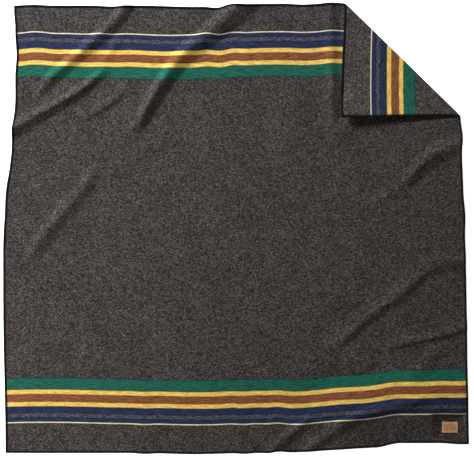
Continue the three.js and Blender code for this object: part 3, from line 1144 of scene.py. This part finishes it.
materials = {
    "charcoal_wool": charcoal_wool(),
    "heather_wool": heather_wool(),
    **{name: dyed_wool(name, dye) for name, dye in DYES.items()},
    "edging_yarn": edging_yarn(),
    "patch_leather": patch_leather(),
    "patch_thread": patch_thread(),
}

# --- The blanket --------------------------------------------------------------------------

top_ground = make_end("top", 1, TOP_BORDER)
bottom_ground = make_end("bottom", -1, BOTTOM_BORDER)
make_cloth("centre_ground", "corner_ground", -bottom_ground, top_ground, "charcoal_wool")

make_edge("bottom_edge_whipstitch", (-HALF_WIDTH, -HALF_LENGTH), (HALF_WIDTH, -HALF_LENGTH), (0, 1))
make_edge("top_edge_whipstitch", (-HALF_WIDTH, HALF_LENGTH), (HALF_WIDTH, HALF_LENGTH), (0, -1))
make_edge("left_edge_whipstitch", (-HALF_WIDTH, -HALF_LENGTH), (-HALF_WIDTH, HALF_LENGTH), (1, 0))
make_edge("right_edge_whipstitch", (HALF_WIDTH, -HALF_LENGTH), (HALF_WIDTH, HALF_LENGTH), (-1, 0))

make_patch()
make_stitches()

# --- Going over the cloth pieces ----------------------------------------------------------

NARROWEST_SHEET = 10 * MM


def declare_sheets():
    """Goes over the cloth pieces and skips any narrower than NARROWEST_SHEET; nothing else is done with
    them.
    """
    for name, cloth in cloth_pieces.items():
        if cloth.flat[1] < NARROWEST_SHEET:
            continue


declare_sheets()

# --- Floor, light and camera --------------------------------------------------------------

FLOOR_SIZE = 60.0
FLOOR_DROP = 0.4 * MM
BACKDROP_RADIUS = 29.0
BACKDROP_FOOT = -1.0
BACKDROP_SIDES = 48
PALE = (0.85, 0.85, 0.85, 1)

CAMERA_HEIGHT = 6.507
CAMERA_AIM = (4.9 * MM, -2.5 * MM)
CAMERA_LENS = 100  # mm, as the sensor
CAMERA_SENSOR = 36
CAMERA_REACH = 50

Lamp = namedtuple("Lamp", "name place aim power size colour spread")
LAMPS = (
    Lamp("key", (-4.3, 5.6, 2.9), (-0.3, -0.5, 0), 1520, 2.6, (0.89, 0.93, 1.0), 180),
    Lamp("low_fill", (-3.2, -2.2, 1.9), (-0.95, -0.4, 0), 21, 1.6, (1.0, 0.98, 0.95), 75),
)
AMBIENT_COLOUR = (1.0, 0.85, 0.52, 1)
AMBIENT_STRENGTH = 0.083


def pale_surface():
    shader = Shader("pale_surface", roughness=0.9)
    shader.surface.inputs["Base Color"].default_value = PALE
    shader.surface.inputs["Emission Color"].default_value = (1, 1, 1, 1)
    shader.surface.inputs["Emission Strength"].default_value = 1.0
    return shader.material


def make_stage(name, verts, faces):
    mesh = bpy.data.meshes.new(name)
    mesh.from_pydata(verts, [], faces)
    mesh.materials.append(pale_surface())
    stage = link(name, mesh)
    return stage


def make_floor():
    half = FLOOR_SIZE / 2
    corners = [(sx * half, sy * half, -FLOOR_DROP) for sx, sy in ((-1, -1), (1, -1), (1, 1), (-1, 1))]
    make_stage("floor", corners, [(0, 1, 2, 3)])


def make_backdrop():
    """A round pale wall far off, which neither lights nor shades the blanket."""
    verts = []
    faces = []
    for k in range(BACKDROP_SIDES):
        around = 2 * math.pi * k / BACKDROP_SIDES
        x, y = BACKDROP_RADIUS * math.cos(around), BACKDROP_RADIUS * math.sin(around)
        verts += [(x, y, BACKDROP_FOOT), (x, y, BACKDROP_RADIUS)]
        a, b = 2 * k, 2 * ((k + 1) % BACKDROP_SIDES)
        faces.append((a, a + 1, b + 1, b))
    wall = make_stage("backdrop", verts, faces)
    wall.visible_diffuse = False
    wall.visible_glossy = False
    wall.visible_shadow = False


def make_lamp(lamp):
    light = bpy.data.lights.new(lamp.name, "AREA")
    light.energy = lamp.power
    light.shape = "DISK"
    light.size = lamp.size
    light.spread = math.radians(lamp.spread)
    light.color = lamp.colour
    body = link(lamp.name, light)
    body.location = lamp.place
    body.rotation_euler = (Vector(lamp.aim) - Vector(lamp.place)).to_track_quat("-Z", "Y").to_euler()


def make_camera():
    """Straight above the blanket, looking down."""
    camera = bpy.data.cameras.new("camera")
    camera.lens = CAMERA_LENS
    camera.sensor_width = CAMERA_SENSOR
    camera.clip_end = CAMERA_REACH
    body = link("camera", camera)
    body.location = (*CAMERA_AIM, CAMERA_HEIGHT)
    bpy.context.scene.camera = body


def make_world():
    world = bpy.data.worlds.new("studio")
    world.use_nodes = True
    background = world.node_tree.nodes["Background"]
    background.inputs["Color"].default_value = AMBIENT_COLOUR
    background.inputs["Strength"].default_value = AMBIENT_STRENGTH
    bpy.context.scene.world = world


bpy.context.scene.view_settings.view_transform = "Standard"
make_camera()
make_floor()
make_backdrop()
make_world()
for lamp in LAMPS:
    make_lamp(lamp)
